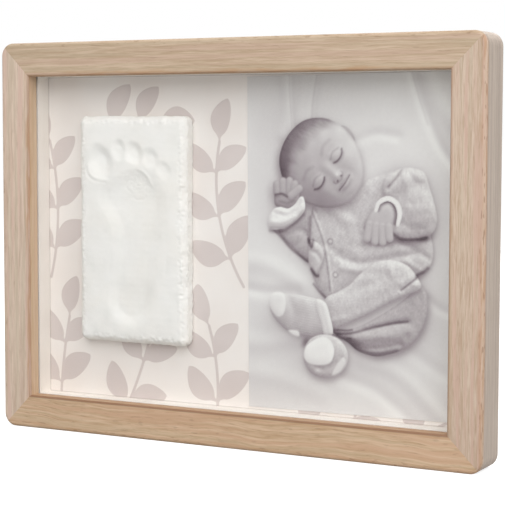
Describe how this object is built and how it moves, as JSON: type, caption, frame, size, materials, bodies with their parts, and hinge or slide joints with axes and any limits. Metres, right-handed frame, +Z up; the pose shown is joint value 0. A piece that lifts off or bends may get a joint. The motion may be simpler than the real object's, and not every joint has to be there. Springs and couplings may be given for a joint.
{
  "type": "baby print box frame",
  "caption": "Deep mitred wooden box frame with a clear pane, a clay slab with a baby's footprint, a photo print on a leaf-printed card, and a back board held by turn buttons.",
  "frame": {"origin": "middle of the flat underside that the frame stands on, halfway between the front and back faces", "axes": "+X to the right seen from the front, +Y to the back, +Z up; the front looks towards -Y"},
  "size_m": [0.2412, 0.0228, 0.1816],
  "materials": {
    "oiled_wood": "pale sanded wood, unvarnished, grain along each length",
    "cream_board": "matt cream",
    "clear_acrylic": "clear, polished",
    "printed_paper": "matt card with a pale leaf print",
    "photo_paper": "satin black-and-white print",
    "white_clay": "matt, hand-smoothed",
    "tape": "double-sided tape",
    "fibreboard": "smooth brown fibreboard",
    "zinc_steel": "zinc plated, satin"
  },
  "bodies": {
    "root": {"top_rail": "oiled_wood", "bottom_rail": "oiled_wood", "left_stile": "oiled_wood", "right_stile": "oiled_wood", "corner_wedges": "zinc_steel", "clear_pane": "clear_acrylic", "lining_top": "cream_board", "lining_bottom": "cream_board", "lining_left": "cream_board", "lining_right": "cream_board", "printed_card": "printed_paper", "photo_print": "photo_paper", "print_tape": "tape", "clay_print": "white_clay", "slab_tape": "tape", "back_board": "fibreboard", "turn_button_screws": "zinc_steel", "wall_hanger": "zinc_steel", "hanger_nails": "zinc_steel"},
    "turn_button_top_left": {"turn_button_top_left": "zinc_steel"},
    "turn_button_top_right": {"turn_button_top_right": "zinc_steel"},
    "turn_button_bottom_left": {"turn_button_bottom_left": "zinc_steel"},
    "turn_button_bottom_right": {"turn_button_bottom_right": "zinc_steel"},
    "turn_button_left": {"turn_button_left": "zinc_steel"},
    "turn_button_right": {"turn_button_right": "zinc_steel"}
  },
  "joints": [
    {"name": "turn_button_top_left_turn", "type": "hinge", "parent": "root", "child": "turn_button_top_left", "pos_m": [-0.07, 0.01, 0.1766], "axis": [0, 1, 0], "continuous": true},
    {"name": "turn_button_top_right_turn", "type": "hinge", "parent": "root", "child": "turn_button_top_right", "pos_m": [0.07, 0.01, 0.1766], "axis": [0, 1, 0], "continuous": true},
    {"name": "turn_button_bottom_left_turn", "type": "hinge", "parent": "root", "child": "turn_button_bottom_left", "pos_m": [-0.07, 0.01, 0.005], "axis": [0, 1, 0], "continuous": true},
    {"name": "turn_button_bottom_right_turn", "type": "hinge", "parent": "root", "child": "turn_button_bottom_right", "pos_m": [0.07, 0.01, 0.005], "axis": [0, 1, 0], "continuous": true},
    {"name": "turn_button_left_turn", "type": "hinge", "parent": "root", "child": "turn_button_left", "pos_m": [-0.1156, 0.01, 0.0908], "axis": [0, 1, 0], "continuous": true},
    {"name": "turn_button_right_turn", "type": "hinge", "parent": "root", "child": "turn_button_right", "pos_m": [0.1156, 0.01, 0.0908], "axis": [0, 1, 0], "continuous": true}
  ]
}
